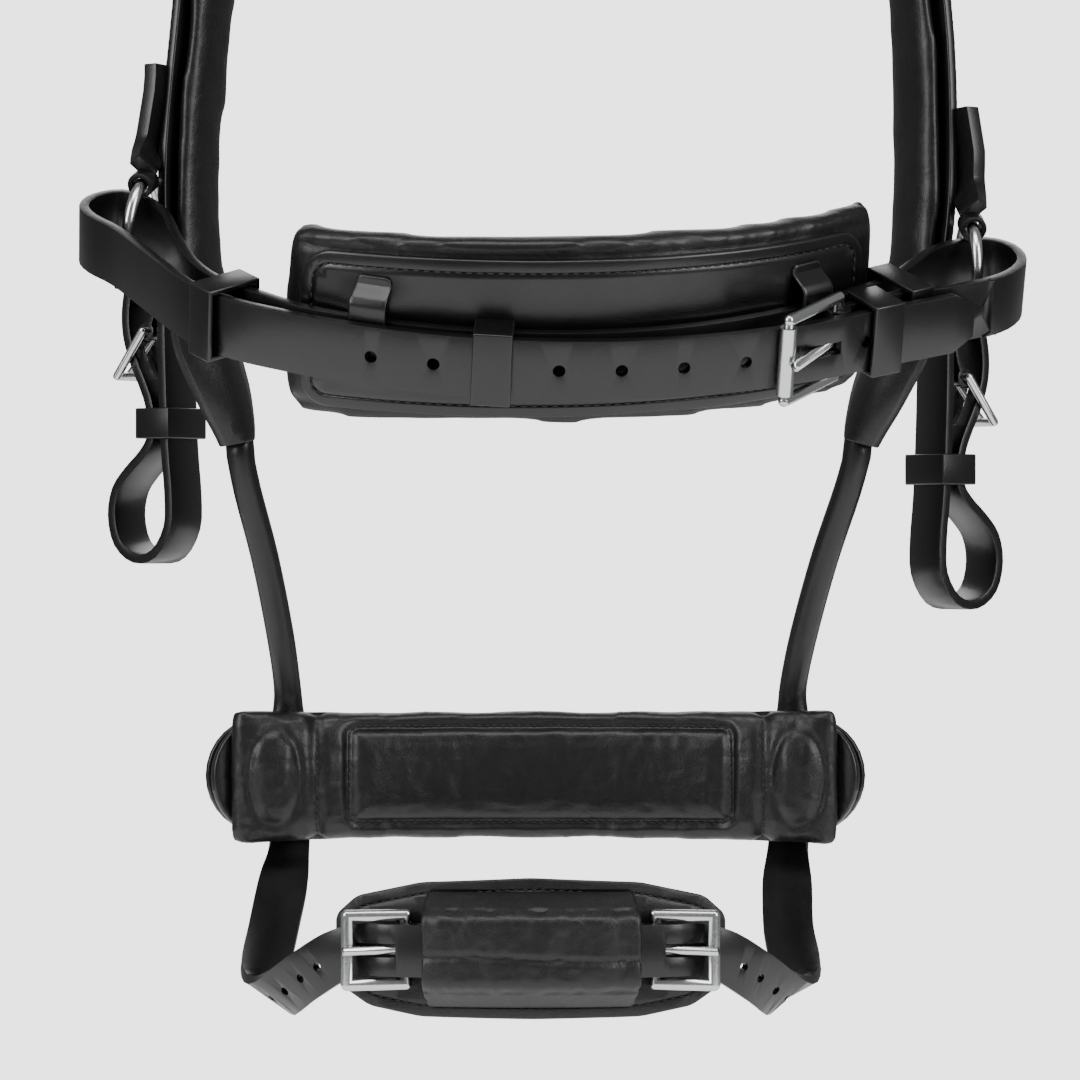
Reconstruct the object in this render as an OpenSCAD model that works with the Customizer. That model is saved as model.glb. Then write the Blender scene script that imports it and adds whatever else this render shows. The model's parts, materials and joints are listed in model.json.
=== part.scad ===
// Padded leather bridle, worn as a headcollar: a padded crown and browband, two padded noseband
// hangers, two rolled straps, a padded nosepiece, a chin strap with its pad, a jaw strap that
// doubles back through two rings, and two cheekpieces that end in loops for a bit.
// Millimetres. X runs across the head, +Y towards the nose, +Z up.
// The origin is the poll seat, the middle of the crown's underside.

/* [Leather] */
// Thickness of the strap leather
strap_t = 3; // [2.6:0.1:3.2]
// Width of the jaw strap
jaw_w = 19; // [17:0.5:19]
// Width of the chin strap
chin_w = 16; // [14:0.5:16]
// Width of the bit cheekpieces
bit_w = 16; // [14:0.5:16]
// Thickness of the leather in the keepers
keeper_t = 1.6; // [1.4:0.1:1.7]

/* [Jaw strap] */
// Slope of the jaw strap, down towards the throat
jaw_tilt = 25; // [23:0.5:27]
// Distance between the punched holes
hole_pitch = 18.7; // [17:0.1:20]
// Radius of a punched hole
hole_r = 1.9; // [1.5:0.1:2.1]
// Radius of the wire of the two rings
ring_wire = 1.9; // [1.6:0.1:2.1]
// Radius of a ring, to the middle of its wire
ring_r = 14; // [13.5:0.1:14.5]
// Thickness of the jaw pad
jaw_pad_t = 12; // [9:0.5:13]
// Height of the jaw pad
jaw_pad_h = 64; // [58:1:68]

/* [Nosepiece] */
// Height of the nose pad
nose_h = 49; // [44:1:52]
// Thickness of the nose pad
nose_t = 10; // [8:0.5:11]
// Radius of the nose pad's curve
nose_r = 233; // [225:1:240]

/* [Hangers] */
// Width of the padded noseband hangers
hanger_w = 30; // [26:1:31]
// Radius of the rolled straps
rolled_r = 4.6; // [4:0.1:4.8]

/* [Hidden] */

fine = 64;          // facets of a round part
leather = "#1c1b1d";
soft = "#242327";
steel = "#c9ccd0";
gap = 0.3;          // air between pieces that lie against each other
running = 0.06;     // radial clearance of a tongue or a roller on its bar

// ---- Curves and swept solids ----
function unit(v) = v / norm(v);
function at(row, i) = [row[i], row[i + 1], row[i + 2]];
function blend(a, b, c, d, t) =
    0.5 * (2 * b + (c - a) * t + (2 * a - 5 * b + 4 * c - d) * t * t
           + (3 * b - a - 3 * c + d) * t * t * t);
// A smooth curve through rows of any length, with k steps between two rows
function flow(rows, k) = let (n = len(rows) - 1) [
    for (i = [0 : n - 1]) for (j = [0 : k - 1])
        blend(rows[max(i - 1, 0)], rows[i], rows[i + 1], rows[min(i + 2, n)], j / k),
    rows[n]];
// The ring of points round row i: a row holds a place, a direction across, a width, a thickness
function ring_at(r, i, outline, lift) = let (
    n = len(r) - 1,
    along = unit(at(r[min(i + 1, n)], 0) - at(r[max(i - 1, 0)], 0)),
    out = unit(cross(along, at(r[i], 3))),
    across = cross(out, along))
    [for (q = outline) at(r[i], 0) + across * q.x * r[i][6] + out * (lift + q.y * r[i][7])];
module sweep(rows, outline, k = 4, lift = 0) {
    r = flow(rows, k);
    n = len(r);
    m = len(outline);
    points = [for (i = [0 : n - 1]) each ring_at(r, i, outline, lift)];
    sides = [for (i = [0 : n - 2]) for (j = [0 : m - 1]) let (
        a = i * m + j, b = i * m + (j + 1) % m, c = b + m, d = a + m) each [[a, d, c], [a, c, b]]];
    ends = [[for (j = [0 : m - 1]) j], [for (j = [m - 1 : -1 : 0]) (n - 1) * m + j]];
    polyhedron(points, concat(sides, ends), convexity = 8);
}
flat_edge = [[-0.5, -0.5], [0.5, -0.5], [0.5, 0.5], [-0.5, 0.5]];
round_edge = [for (i = [0 : 9]) 0.5 * [cos(36 * i), sin(36 * i)]];
puffed = [for (i = [0 : 11]) let (a = 15 + 30 * i)
    [0.5 * sign(cos(a)) * pow(abs(cos(a)), 0.5), 0.5 * sign(sin(a)) * pow(abs(sin(a)), 0.7)]];

// A strap seen from its edge: the outline of a path of points, thick on both sides
function side_of(p, i) = let (n = len(p) - 1, d = unit(p[min(i + 1, n)] - p[max(i - 1, 0)])) [-d.y, d.x];
module strap_edge(p, t) {
    polygon(concat([for (i = [0 : len(p) - 1]) p[i] + side_of(p, i) * t / 2],
                   [for (i = [len(p) - 1 : -1 : 0]) p[i] - side_of(p, i) * t / 2]));
}
// Points every few degrees on an arc whose angle is measured from straight down
function arc(c, r, from, to, steps) = [for (i = [0 : steps]) let (a = from + (to - from) * i / steps)
    c + r * [sin(a), -cos(a)]];

// ---- Hardware, drawn with its rear bar on the Z axis and its front bar at +X ----
module rod(a, b, r) {
    d = b - a;
    translate(a) rotate([0, acos(d.z / norm(d)), atan2(d.y, d.x)]) cylinder(r = r, h = norm(d), $fn = fine);
}
module buckle_frame(l, half, r, front_r) {
    color(steel) {
        rod([0, 0, -half], [0, 0, half], r);
        rod([l, 0, -half], [l, 0, half], front_r);
        for (z = [-half, half]) {
            rod([0, 0, z], [l, 0, z], r);
            for (x = [0, l]) translate([x, 0, z]) sphere(r = r, $fn = fine);
        }
    }
}
eye_rise = 0.8;
module buckle_tongue(l, bar_r, front_r, r) {
    // The shank starts at the eye and clears the front bar by a little
    rise = (front_r + r + 0.2 - eye_rise) * (l + 2 - bar_r - 0.9) / (l - bar_r - 0.9);
    color(steel) {
        difference() {
            cylinder(r = bar_r + running + 1.5, h = 3.6, center = true, $fn = fine);
            cylinder(r = bar_r + running, h = 5, center = true, $fn = fine);
        }
        rod([bar_r + 0.9, eye_rise, 0], [l + 2, eye_rise + rise, 0], r);
    }
}
// The end of a strap that is folded round a buckle's bar, open in the middle for the tongue
module folded_eye(bar_r, w, wall) {
    difference() {
        cylinder(r = bar_r + 0.05 + wall, h = w, center = true, $fn = fine);
        cylinder(r = bar_r + 0.05, h = w + 2, center = true, $fn = fine);
        cube([30, 30, 4.6], center = true);
    }
}
// A keeper: a leather band whose strap runs along X, with its thickness along Y
module keeper(open_depth, open_h, w) {
    color(leather) rotate([0, 90, 0]) linear_extrude(w, center = true) difference() {
        square([open_h + 2 * keeper_t, open_depth + 2 * keeper_t], center = true);
        square([open_h, open_depth], center = true);
    }
}

// ---- Left and right: side is -1 for the left and 1 for the right ----
// The two sides hang about this line, which isn't quite plumb
function mid_x(z) = lookup(z, [[-500, -6], [-470, -3], [-420, -3], [-340, 0], [-280, 2], [-200, 4], [-120, 0]]);
function mirrored(rows, side) = [for (q = rows)
    [side * q[0] + mid_x(q[2]), q[1], q[2], q[3], side * q[4], side * q[5], q[6], q[7]]];

// ---- Crown and browband ----
// Each row: place, direction across, width, thickness
crown_half = [
    [0, 0, 9, 0, 1, 0, 46, 3], [24, 0, 8, 0, 1, 0, 47, 3], [48, 5, -1, 0, 1, 0, 52, 3],
    [69, 14, -22, 0, 1, 0, 57, 3], [86, 25, -54, 0, 1, 0, 58, 3], [97, 36, -88, 0, 1, 0, 58, 3],
    [101, 42, -112, 0, 1, 0, 56, 3]];
crown_pad_t = 9;
function crown_rows(last, extra, t) = concat(
    [for (i = [last : -1 : 1]) let (q = crown_half[i]) [-q[0], q[1], q[2], 0, 1, 0, q[6] + extra, t]],
    [for (i = [0 : last]) let (q = crown_half[i]) [q[0], q[1], q[2], 0, 1, 0, q[6] + extra, t]]);
billet_path = [[-28.5, -96], [-23.5, -110], [-19.2, -124], [-16.6, -132.6], [-10.9, -144.5], [-8.2, -156],
               [-7.6, -170], [-6, -186], [-5, -195]];
module crown_leather() {
    color(leather) {
        sweep(crown_rows(6, 0, strap_t), flat_edge, 3, strap_t / 2 + 0.1);
        for (side = [-1, 1]) bit_plane(side) difference() {
            linear_extrude(bit_w, center = true) strap_edge(flow(billet_path, 3), strap_t);
            translate([-13, -143, 0]) cube([12, 17, 4], center = true);
        }
    }
}
module crown_padding() {
    color(soft) sweep(crown_rows(5, 4, crown_pad_t), puffed, 3, -crown_pad_t / 2 - 0.7);
}
browband_half = [[0, 118, -112], [30, 115, -111.5], [60, 105, -109.5], [83, 91, -106.5], [96, 78, -104]];
function browband_rows(half, w, t) = concat(
    [for (i = [len(half) - 1 : -1 : 1]) let (q = half[i]) [-q[0], q[1], q[2], 0, 0, 1, w, t]],
    [for (q = half) [q[0], q[1], q[2], 0, 0, 1, w, t]]);
browband_pad_t = 7;
// The padding stops short of the loops
browband_pad_half = [each [for (i = [0 : 3]) browband_half[i]], [88, 86.5, -105.6]];
module browband_leather() {
    color(leather) sweep(browband_rows(browband_half, 18, strap_t), flat_edge, 3, -strap_t / 2 - 0.1);
}
module browband_padding() {
    color(soft) sweep(browband_rows(browband_pad_half, 24, browband_pad_t), puffed, 3, browband_pad_t / 2 + 0.3);
}
module browband_loop(side) {
    color(leather) translate([side * 100 + 1, 40, -104]) difference() {
        cube([25 + 2 * keeper_t, 70 + 2 * keeper_t, 16], center = true);
        cube([25, 70, 18], center = true);
    }
}

// ---- Noseband hangers and rolled straps ----
hanger_rows = [
    [93.6, 28, -95, 0, 1, 0], [96.2, 28.2, -112, -0.05, 0.999, 0], [102, 28.6, -127, -0.3, 0.954, 0], [109, 29.5, -160, -0.5, 0.866, 0],
    [115, 30, -205, -0.5, 0.866, 0], [118, 30, -250, -0.5, 0.866, 0], [117, 30, -280, -0.5, 0.866, 0],
    [113, 31, -304, -0.5, 0.866, 0]];
hanger_pad_t = 7;
function hanger(from, w, t) = [for (i = [from : len(hanger_rows) - 1]) [each hanger_rows[i], w, t]];
module hanger_leather(side) {
    color(leather) sweep(mirrored(hanger(0, hanger_w - 4, strap_t), side), flat_edge, 4, strap_t / 2 + 0.1);
}
module hanger_padding(side) {
    color(soft) sweep(mirrored(hanger(2, hanger_w, hanger_pad_t), side), puffed, 4, -hanger_pad_t / 2 - 0.4);
}
hanger_end_rows = [
    [112.8, 31, -306, -0.5, 0.866, 0, 31, 13], [110.5, 31.5, -314, -0.5, 0.866, 0, 31, 14],
    [105, 32.5, -328, -0.5, 0.866, 0, 26, 13.5], [101.5, 33.5, -338, -0.5, 0.866, 0, 19, 12],
    [100, 34, -344, -0.5, 0.866, 0, 14, 11]];
module hanger_end(side) {
    color(leather) sweep(mirrored(hanger_end_rows, side), round_edge, 3);
}
rolled_w = 2 * rolled_r;
rolled_rows = [
    [99.6, 34.2, -345, -0.94, 0.34, 0, rolled_w, rolled_w], [96.5, 38, -359, -0.94, 0.34, 0, rolled_w, rolled_w],
    [90.5, 48, -381, -0.94, 0.34, 0, rolled_w, rolled_w], [85.5, 60, -405, -0.94, 0.34, 0, rolled_w, rolled_w],
    [83, 68.5, -422, -0.94, 0.34, 0, rolled_w, rolled_w], [82.6, 69, -432, -0.94, 0.34, 0, 11, 6],
    [82.4, 68.2, -441, -0.94, 0.34, 0, 15, 4.4], [82.4, 67.4, -452, -0.94, 0.34, 0, 16, 3.8]];
module rolled_strap(side) {
    color(leather) sweep(mirrored(rolled_rows, side), round_edge, 4);
}

// ---- Nosepiece: arcs round an upright axis behind the face ----
nose_x = -4.6;
nose_y = 76 - nose_r;
nose_z = -452;
nose_half = 26;     // half angle of the pad
module nose_arc(r, t, h, half) {
    translate([nose_x, nose_y, nose_z]) rotate([0, 0, 90 - half]) rotate_extrude(angle = 2 * half, $fn = 180)
        translate([r, 0]) square([t, h], center = true);
}
module nose_padding() {
    color(soft) nose_arc(nose_r - nose_t / 2, nose_t, nose_h, nose_half);
}
module nose_leather() {
    r = nose_r + 1.4;
    color(leather) intersection() {
        nose_arc(r, 2.4, nose_h - 10, nose_half + 1);
        translate([nose_x, nose_y + r, nose_z]) rotate([90, 0, 0])
            linear_extrude(160, center = true) hull() for (s = [-1, 1]) translate([s * 88, 0])
                circle(r = nose_h / 2 - 5, $fn = 32);
    }
}
module nose_patch(side) {
    color(leather) translate([nose_x, nose_y, nose_z]) rotate([0, 0, -side * 21.5])
        translate([0, nose_r + 13.8, 0]) rotate([90, 0, 0]) cylinder(r = 19, h = 2.4, $fn = fine);
}

// ---- Chin strap: its middle lies on an arc round an upright axis ----
chin_y = 116;
chin_z = -501;
chin_r = 150;
chin_bar = 14.6;    // angle of the buckles' rear bars
chin_slant = 27;    // slope of the buckles to the strap
chin_buckle_l = 18.5;
chin_wire = 1.9;
function chin_x() = mid_x(chin_z);
module chin_at(a) {
    translate([chin_x(), chin_y, chin_z]) rotate([0, 0, a]) translate([0, -chin_r, 0]) children();
}
module chin_arc(r, t, h, half) {
    translate([chin_x(), chin_y, chin_z]) rotate([0, 0, -90 - half]) rotate_extrude(angle = 2 * half, $fn = 180)
        translate([r, 0]) square([t, h], center = true);
}
function chin_point(a, r) = [r * sin(a), chin_y - r * cos(a)];
chin_rows = [
    [82.2, 67.5, -452.8, -0.94, 0.34, 0, 16, 3.6], [82, 67.3, -466, -0.94, 0.34, 0, 13.5, 3],
    [81.6, 65.6, -476, -0.95, 0.3, 0, 13, 3], [82, 56.5, -486.5, -0.98, 0.15, 0, 16, 3],
    [82.8, 38, -500, -1, 0.05, 0, 16, 3], [84, 16, -511, -0.97, 0, -0.2, 16, 3],
    [80, -3, -517.5, -0.78, 0, -0.62, 16, 3], [70.5, -18.5, -510.5, -0.45, 0, -0.9, 16, 3],
    each [for (a = [22.8, 19.5, 16.5, 13, 9, 5]) let (p = chin_point(a, a > 18 ? 155.2 : 157.2))
        [p.x, p.y, a > 20 ? chin_z - 2.5 : chin_z, a > 20 ? -0.2 : 0, 0, -1, 16, 3]]];
chin_hole_r = 1.4;
module chin_billet(side) {
    color(leather) difference() {
        sweep(mirrored(chin_rows, side), flat_edge, 4);
        chin_at(side * 17.6) translate([0, -6.4, 0]) cube([13.6, 12, 4.2], center = true);
        // Punched holes, square to the strap
        r = flow(mirrored(chin_rows, side), 4);
        for (i = [22 : 2 : 30]) {
            out = unit(cross(at(r[i + 1], 0) - at(r[i - 1], 0), at(r[i], 3)));
            rod(at(r[i], 0) - 4 * out, at(r[i], 0) + 4 * out, chin_hole_r);
        }
    }
}
chin_eye = 1.5;     // thickness of the strap where it is skived and folded round a bar
chin_lift = 2;      // the bars stand a little proud of the strap
module chin_strap() {
    color(leather) difference() {
        union() {
            chin_arc(chin_r + 0.2, 2.6, chin_w, chin_bar + 0.2);
            for (side = [-1, 1]) chin_bar_at(side)
                cylinder(r = chin_wire + 0.05 + chin_eye, h = chin_w, center = true, $fn = fine);
        }
        for (side = [-1, 1]) chin_bar_at(side) {
            cube([8.6, 8.6, 4.6], center = true);
            cylinder(r = chin_wire + 0.05, h = 30, center = true, $fn = fine);
        }
    }
}
module chin_bar_at(side) { chin_at(side * chin_bar) translate([0, -chin_lift, 0]) children(); }
module chin_hardware(side) {
    chin_bar_at(side) mirror([side > 0 ? 1 : 0, 0, 0]) rotate([0, 0, 180 + chin_slant]) children();
}
module chin_buckle(side) { chin_hardware(side) buckle_frame(chin_buckle_l, 10.6, chin_wire, chin_wire); }
module chin_tongue(side) { chin_hardware(side) buckle_tongue(chin_buckle_l, chin_wire, chin_wire, 1.3); }
chin_pad_outline = [[-60.5, -11], [-60.5, 10], [-54, 16], [-34, 20.5], [0, 22], [34, 20.5], [54, 16],
                    [60.5, 10], [60.5, -11], [50, -18], [34, -21], [0, -21.5], [-34, -21], [-50, -18]];
module chin_outline(extra) {
    translate([chin_x(), 0, chin_z]) rotate([90, 0, 0]) linear_extrude(120, center = true)
        polygon([for (q = chin_pad_outline) [q.x * (1 + extra / 60), q.y * (1 + extra / 22)]]);
}
module chin_leather() {
    color(leather) intersection() { chin_arc(chin_r - 2.9, 2.2, 60, 27); chin_outline(0); }
}
module chin_padding() {
    color(soft) intersection() { chin_arc(chin_r - 8.1, 8, 60, 26); chin_outline(-1.5); }
}
module chin_sleeve() {
    inner = chin_r - 1.6;
    outer = chin_r + 10.9;
    color(leather) translate([chin_x(), chin_y, chin_z]) rotate([0, 0, -90 - 12.3])
        rotate_extrude(angle = 24.6, $fn = 180) polygon([
            [inner, -18], [inner, -8.6 - gap], [outer - 1.8, -8.6 - gap], [outer - 1.8, 8.6 + gap],
            [inner, 8.6 + gap], [inner, 18], [inner + 1.6, 18], [outer - 1, 11], [outer, 9.4],
            [outer, -9.4], [outer - 1, -11], [inner + 1.6, -18]]);
}

// ---- Jaw strap: drawn flat in its own plane, then tilted ----
jaw_origin = [10.5, -70, -323];
jaw_roll = 2.5;
module jaw_plane() {
    translate(jaw_origin) rotate([jaw_tilt, 0, 0]) rotate([0, jaw_roll, 0]) children();
}
function jaw_world(p) = let (
    x = p.x * cos(jaw_roll) + p.z * sin(jaw_roll), z = p.z * cos(jaw_roll) - p.x * sin(jaw_roll))
    jaw_origin + [x, p.y * cos(jaw_tilt) - z * sin(jaw_tilt), p.y * sin(jaw_tilt) + z * cos(jaw_tilt)];
front_c = [-19.4, 181.8];   // centre and radius of the run towards the viewer
front_r = 185;
inner_c = [-23.75, 152.8];  // centre and radius of the run that carries the pad
inner_r = 150;
jaw_bar = [77, 31];         // the buckle's rear bar and its roller
jaw_front = [61, 10.6];
jaw_wire = 1.8;
right_bight = [[79.5, 34], [84, 38], [90, 42], [98, 47.3], [112, 52.8], [123, 58.5], [132.5, 67], [137.5, 78.5],
               [135, 90], [127.5, 94.6], [118, 91.4], [110, 84.6], [103, 72.8], [96, 61]];
left_bight = [[-99, 25.4], [-112, 35.5], [-121, 49.5], [-127.5, 70], [-132, 88], [-139, 100.4], [-147, 105.6],
              [-155, 101], [-158, 92], [-154.5, 83], [-146, 73], [-134, 53], [-121, 31.8], [-106.5, 18.8]];
billet_end = [[100, 38], [110, 43.8], [120, 50]];
jaw_path = flow(concat(right_bight, arc(inner_c, inner_r, 45.5, -24, 10), left_bight,
                       arc(front_c, front_r, -22.8, 35.6, 12), billet_end), 3);
module on_front(x) {
    a = asin((x - front_c.x) / front_r);
    translate([front_c.x, front_c.y, 0]) rotate([0, 0, a]) translate([0, -front_r, 0]) children();
}
module jaw_strap() {
    color(leather) jaw_plane() difference() {
        union() {
            linear_extrude(jaw_w, center = true) strap_edge(jaw_path, strap_t);
            translate(jaw_bar) folded_eye(jaw_wire, jaw_w, 2.2);
        }
        for (i = [-3 : 5]) if (i != 4)
            on_front(-8 + i * hole_pitch) rotate([90, 0, 0]) cylinder(r = hole_r, h = 6, center = true, $fn = fine);
        // The hole in use is drawn out by the tongue
        on_front(71) cube([15, 6, 4.2], center = true);
        // Room for the tongue's eye where the strap is folded round the bar
        translate(jaw_bar) cube([9.6, 9.6, 4.6], center = true);
        // Pointed end
        translate([120.6, 50.4, 0]) rotate([0, 0, 31]) for (s = [-1, 1])
            translate([0, 0, s * jaw_w / 2]) rotate([0, s * 30, 0]) cube([20, 10, 8], center = true);
    }
}
jaw_span = norm(jaw_bar - jaw_front);
jaw_angle = atan2(jaw_front.y - jaw_bar.y, jaw_front.x - jaw_bar.x);
roller_core = 1.5;
module jaw_hardware() { jaw_plane() translate(jaw_bar) rotate([0, 0, jaw_angle]) children(); }
module jaw_buckle() { jaw_hardware() buckle_frame(jaw_span, 13.2, jaw_wire, roller_core); }
module jaw_roller() {
    color(steel) jaw_hardware() translate([jaw_span, 0, 0]) difference() {
        cylinder(r = 2.6, h = 22, center = true, $fn = fine);
        cylinder(r = roller_core + running, h = 24, center = true, $fn = fine);
    }
}
module jaw_tongue() { jaw_hardware() buckle_tongue(jaw_span, jaw_wire, 2.6, 1.5); }
module jaw_keeper_left() { jaw_plane() translate([-110, 28.6, 0]) rotate([0, 0, -48]) keeper(16.6, jaw_w + 1, 10); }
module jaw_keeper_centre() { jaw_plane() on_front(-28) translate([0, 3.15, 0]) keeper(9.9, jaw_w + 1, 12); }
module jaw_keeper_point() { jaw_plane() translate([89, 36.6, 0]) rotate([0, 0, 32]) keeper(12.8, jaw_w + 1, 11); }
module jaw_keeper_right() { jaw_plane() translate([97.7, 54, 0]) rotate([0, 0, 36]) keeper(19.4, jaw_w + 1, 9); }
// The pad and its leather lie round inner_c, so that they slide along the strap
function droop(x) = 5 - 5 * pow(x / 92, 2);
pad_gap = 2.9;      // room for the keeper behind the strap
module jaw_slab(r, t, from, to, h) {
    intersection() {
        translate([inner_c.x, inner_c.y, 0]) rotate([0, 0, -90 - 32]) rotate_extrude(angle = 86, $fn = 240)
            translate([r, 0]) square([t, h + 20], center = true);
        rotate([90, 0, 0]) linear_extrude(400, center = true) offset(r = 9, $fn = 48) offset(delta = -9) polygon([
            for (i = [0 : 12]) let (x = from + (to - from) * i / 12) [x, h / 2 + droop(x)],
            for (i = [12 : -1 : 0]) let (x = from + (to - from) * i / 12) [x, -h / 2 + droop(x)]]);
    }
}
module jaw_leather() {
    t = 2.4;
    r = inner_r - strap_t / 2 - pad_gap - t / 2;
    color(leather) jaw_plane() {
        jaw_slab(r, t, -88, 86, jaw_pad_h - 8);
        for (x = [-64, 66]) bridge(x, t);
    }
}
// The leather that the jaw strap passes under, at each end of the pad
module bridge(x, t) {
    a = asin((x - inner_c.x) / inner_r);
    half_h = jaw_w / 2 + 0.5;
    top = inner_r + strap_t / 2 + 0.4;
    foot = inner_r - strap_t / 2 - pad_gap - 1;
    translate([inner_c.x, inner_c.y, 0]) rotate([0, 0, -90 + a - 2.2]) rotate_extrude(angle = 4.4, $fn = 240)
        polygon([[foot, -half_h - 1.5], [top + 1.3, -half_h - 1.5], [top + 1.3, half_h + 1.5],
                 [foot, half_h + 1.5], [foot, half_h], [top, half_h], [top, -half_h], [foot, -half_h]]);
}
module jaw_padding() {
    r = inner_r - strap_t / 2 - pad_gap - 2.4 - 0.1 - jaw_pad_t / 2;
    color(soft) jaw_plane() jaw_slab(r, jaw_pad_t, -92, 90, jaw_pad_h);
}

// ---- Rings: the jaw strap turns back through them ----
ring_at_left = [-140, 101.6];
ring_at_right = [122.5, 93.4];
function ring_centre(side) = side > 0 ? ring_at_right : ring_at_left;
function ring_turn(side) = side > 0 ? 96 : 74;
module ring_frame(side) {
    jaw_plane() translate(ring_centre(side)) rotate([0, 0, ring_turn(side)]) children();
}
module jaw_ring(side) {
    color(steel) ring_frame(side) rotate([90, 0, 0])
        rotate_extrude($fn = 96) translate([ring_r, 0]) circle(r = ring_wire, $fn = 32);
}
module tab_loop(side) { ring_frame(side) translate([0, 0, ring_r]) rotate([0, 90, 0]) children(); }
module ring_tab(side) {
    c = ring_centre(side);
    top = jaw_world([c.x, c.y, ring_r + ring_wire + 2.4]);
    color(leather) difference() {
        union() {
            tab_loop(side) cylinder(r = ring_wire + 2.3, h = 6, center = true, $fn = fine);
            sweep([for (q = [[0, 0, 0.5, 8, 4.2], [0.55, 0.31, 8, 11, 4.4], [1, 0.34, 20, 13, 4.4], [1, 0.36, 34, 13, 4.4]])
                [top.x + (side * 130 + 3 - top.x) * q[0], top.y + (41 - top.y) * q[1], top.z + q[2],
                 0.5, -side * 0.866, 0, q[3], q[4]]], flat_edge, 3);
        }
        tab_loop(side) cylinder(r = ring_wire + 0.7, h = 14, center = true, $fn = fine);
    }
}

// ---- Bit cheekpieces: drawn flat, with X outwards, Y up and the width along Z ----
bit_lower = 15;     // the right loop hangs one hole lower
function drop(side) = side > 0 ? -bit_lower : 0;
function let_down(rows, side) = [for (q = rows) [q.x, q.y < -250 ? q.y + drop(side) : q.y]];
module bit_plane(side) {
    translate([side * 124 + 2, 62, 0]) rotate([0, 0, side > 0 ? 34 : 146]) rotate([90, 0, 0]) children();
}
bit_path = [
    [-15.2, -150.6], [-13, -166], [-10, -185], [-6, -210], [-2.5, -238], [-0.5, -270], [0, -298], [-0.5, -322],
    [-1.6, -345], [-3, -360], [-2.6, -371], [3, -379.5], [11, -381], [18, -376], [20.5, -367], [18.8, -358.5],
    [13.8, -352.5], [8.2, -347.5], [4.6, -342.5], [4.2, -336], [5.2, -330], [8, -323.5], [11.4, -316.5],
    [14.2, -308], [14.6, -299.5], [13, -291], [10.8, -282]];
bit_bar = [6, -307];
cheek_bar = [-15.3, -148];
bit_wire = 1.4;
bit_buckle_l = 17.9;
module bit_strap(side) {
    color(leather) bit_plane(side) {
        difference() {
            linear_extrude(bit_w, center = true) strap_edge(flow(let_down(bit_path, side), 3), strap_t);
            translate([11.6, -316.2 + drop(side), 0]) cube([10, 12, 3.8], center = true);
            translate(cheek_bar) cube([8, 8, 4.6], center = true);
        }
        translate(cheek_bar) folded_eye(bit_wire, bit_w, 2);
        // The strip that holds the lower buckle, sewn to the strap
        difference() {
            linear_extrude(bit_w, center = true) strap_edge(flow(let_down(
                [[5.2, -305.1], [3.2, -299], [2.6, -290], [2.5, -272]], side), 3), 2.4);
            translate([bit_bar.x, bit_bar.y + drop(side), 0]) cube([8, 8, 4.6], center = true);
        }
        translate([bit_bar.x, bit_bar.y + drop(side), 0]) folded_eye(bit_wire, bit_w, 1.5);
    }
}
module bit_hardware(side) {
    bit_plane(side) translate([bit_bar.x, bit_bar.y + drop(side), 0]) rotate([0, 0, -54]) children();
}
module bit_buckle(side) { bit_hardware(side) buckle_frame(bit_buckle_l, 9.8, bit_wire, bit_wire); }
module bit_tongue(side) { bit_hardware(side) buckle_tongue(bit_buckle_l, bit_wire, bit_wire, 1.1); }
module cheek_hardware(side) { bit_plane(side) translate(cheek_bar) rotate([0, 0, 83]) mirror([0, 1, 0]) children(); }
module cheek_buckle(side) { cheek_hardware(side) buckle_frame(17, 9.8, bit_wire, bit_wire); }
module cheek_tongue(side) { cheek_hardware(side) buckle_tongue(17, bit_wire, bit_wire, 1.1); }
module bit_keeper(side) {
    bit_plane(side) translate([2, -337 + drop(side), 0]) rotate([0, 0, 90]) keeper(10.6, bit_w + 1, 10);
}
module tip_keeper(side) {
    bit_plane(side) translate([6.9, -289.5 + drop(side), 0]) rotate([0, 0, 90]) keeper(18.6, bit_w + 1, 7);
}
module cheek_keeper(side) {
    bit_plane(side) translate([-9.6, -174, 0]) rotate([0, 0, 98]) keeper(9.4, bit_w + 1, 9);
}

crown_leather();
crown_padding();
browband_leather();
browband_padding();
browband_loop(-1);  // browband_loop_left
browband_loop(1);  // browband_loop_right
hanger_leather(-1);  // hanger_leather_left
hanger_leather(1);  // hanger_leather_right
hanger_padding(-1);  // hanger_padding_left
hanger_padding(1);  // hanger_padding_right
hanger_end(-1);  // hanger_end_left
hanger_end(1);  // hanger_end_right
rolled_strap(-1);  // rolled_strap_left
rolled_strap(1);  // rolled_strap_right
ring_tab(-1);  // ring_tab_left
ring_tab(1);  // ring_tab_right
jaw_ring(-1);  // jaw_ring_left
jaw_ring(1);  // jaw_ring_right
bit_strap(-1);  // bit_strap_left
bit_strap(1);  // bit_strap_right
bit_buckle(-1);  // bit_buckle_left
bit_buckle(1);  // bit_buckle_right
bit_tongue(-1);  // bit_tongue_left
bit_tongue(1);  // bit_tongue_right
bit_keeper(-1);  // bit_keeper_left
bit_keeper(1);  // bit_keeper_right
tip_keeper(-1);  // tip_keeper_left
tip_keeper(1);  // tip_keeper_right
cheek_buckle(-1);  // cheek_buckle_left
cheek_buckle(1);  // cheek_buckle_right
cheek_tongue(-1);  // cheek_tongue_left
cheek_tongue(1);  // cheek_tongue_right
cheek_keeper(-1);  // cheek_keeper_left
cheek_keeper(1);  // cheek_keeper_right
nose_leather();
nose_padding();
nose_patch(-1);  // nose_patch_left
nose_patch(1);  // nose_patch_right
chin_billet(-1);  // chin_billet_left
chin_billet(1);  // chin_billet_right
chin_strap();
chin_buckle(-1);  // chin_buckle_left
chin_buckle(1);  // chin_buckle_right
chin_tongue(-1);  // chin_tongue_left
chin_tongue(1);  // chin_tongue_right
chin_leather();
chin_padding();
chin_sleeve();
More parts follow.
